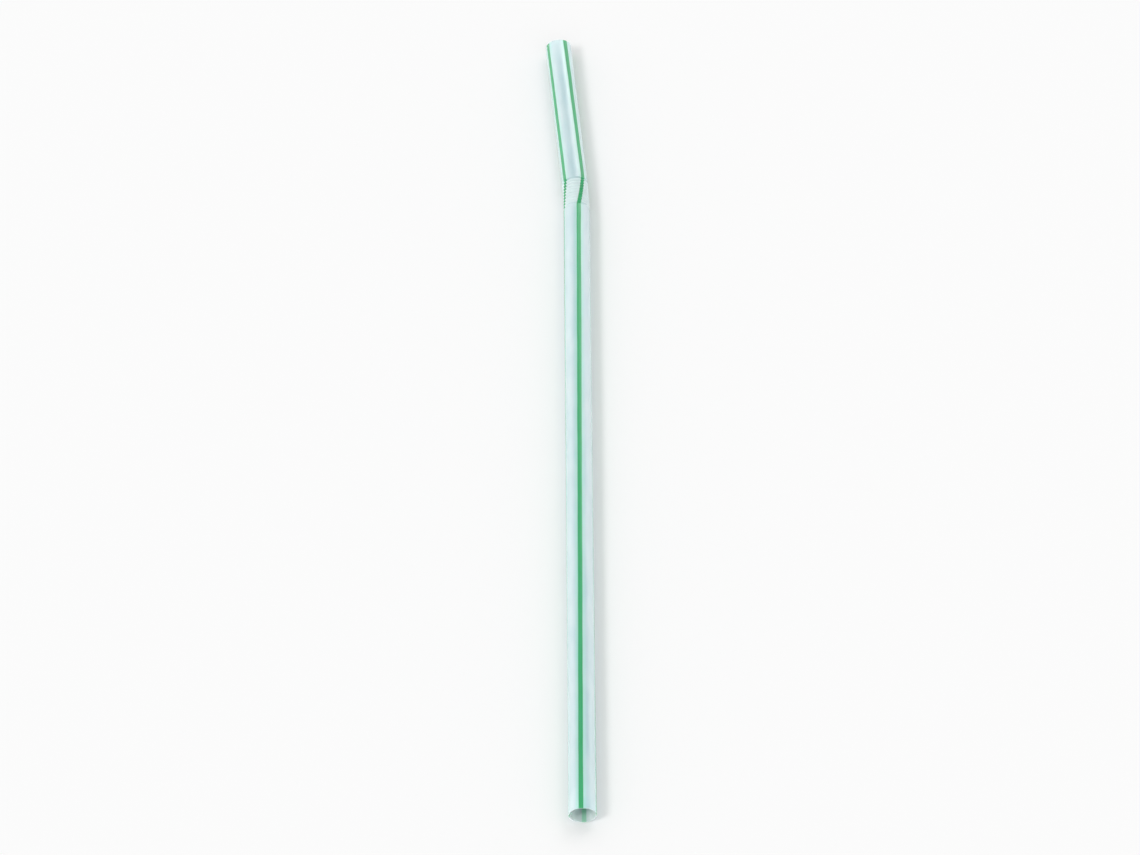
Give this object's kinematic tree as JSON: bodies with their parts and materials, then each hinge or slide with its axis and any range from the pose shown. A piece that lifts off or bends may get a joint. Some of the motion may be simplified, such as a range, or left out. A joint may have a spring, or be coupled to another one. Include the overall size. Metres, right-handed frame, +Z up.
{
  "type": "plastic drinking straw",
  "caption": "Flexible plastic drinking straw: a thin striped tube, open at both ends, with pushed-together folds below a short mouth end that leans slightly.",
  "frame": {"origin": "centre of the bounding box, on the surface that the straw lies on", "axes": "+Y along the long end, from its open rim to the folds; +Z up from the surface; the short end leans level toward -X"},
  "size_m": [0.01, 0.21, 0.006],
  "materials": {
    "straw_plastic": "thin milky translucent polypropylene with a soft gloss and narrow green stripes along its length"
  },
  "bodies": {
    "root": {"straw": "straw_plastic"}
  },
  "joints": []
}
